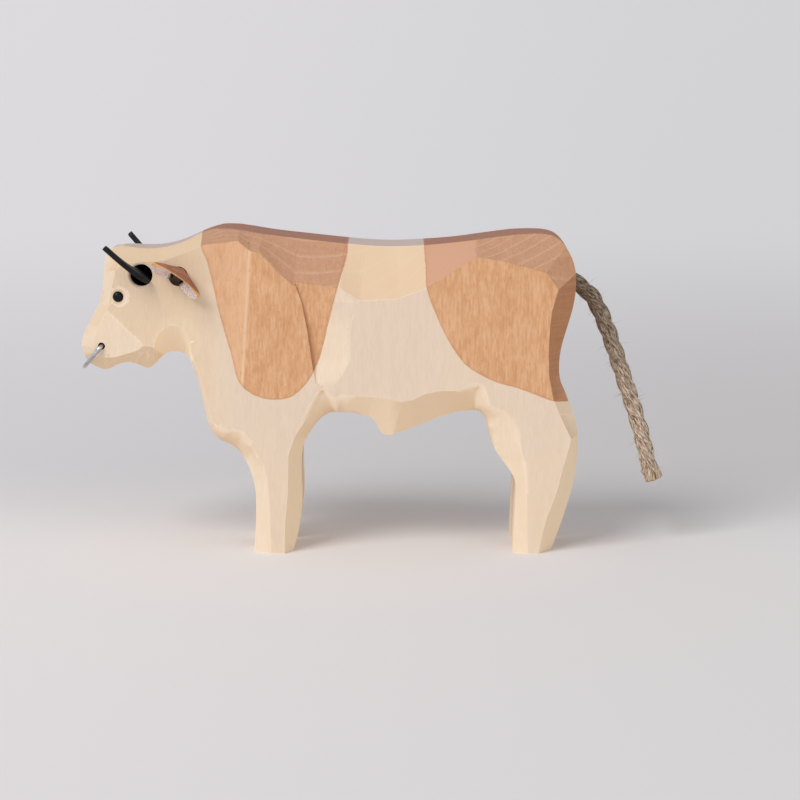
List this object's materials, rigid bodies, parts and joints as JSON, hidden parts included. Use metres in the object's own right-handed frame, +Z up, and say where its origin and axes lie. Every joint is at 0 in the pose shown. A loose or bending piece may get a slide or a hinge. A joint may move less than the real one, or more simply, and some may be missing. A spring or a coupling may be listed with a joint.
{
  "type": "cow figurine",
  "caption": "Standing bull figurine of knife-carved limewood with leather horns and ears, a swinging wire nose ring and a rope tail.",
  "frame": {"origin": "on the floor, under the middle of the bull's overall length and width without the rope tail", "axes": "+Z up, the bull faces -X, its left side is -Y"},
  "size_m": [0.2014, 0.0668, 0.1115],
  "materials": {
    "limewood": "fine sanded and waxed, with brown stained patches",
    "black_leather": "matt, dyed through",
    "brown_leather": "smooth grain outside, pale suede inside",
    "black_enamel": "satin",
    "steel_wire": "bright drawn wire",
    "hemp_rope": "twisted natural fibre"
  },
  "bodies": {
    "bull": {"carved_body": "limewood", "left_horn": "black_leather", "right_horn": "black_leather", "left_ear": "brown_leather", "right_ear": "brown_leather", "left_eye_pin": "black_enamel", "right_eye_pin": "black_enamel", "tail_rope": "hemp_rope"},
    "nose_ring": {"nose_ring": "steel_wire"}
  },
  "joints": [
    {"name": "nose_ring_swing", "type": "hinge", "parent": "bull", "child": "nose_ring", "pos_m": [-0.0782, 0, 0.07158], "axis": [0, 1, 0], "range_deg": [-70, 105]}
  ]
}
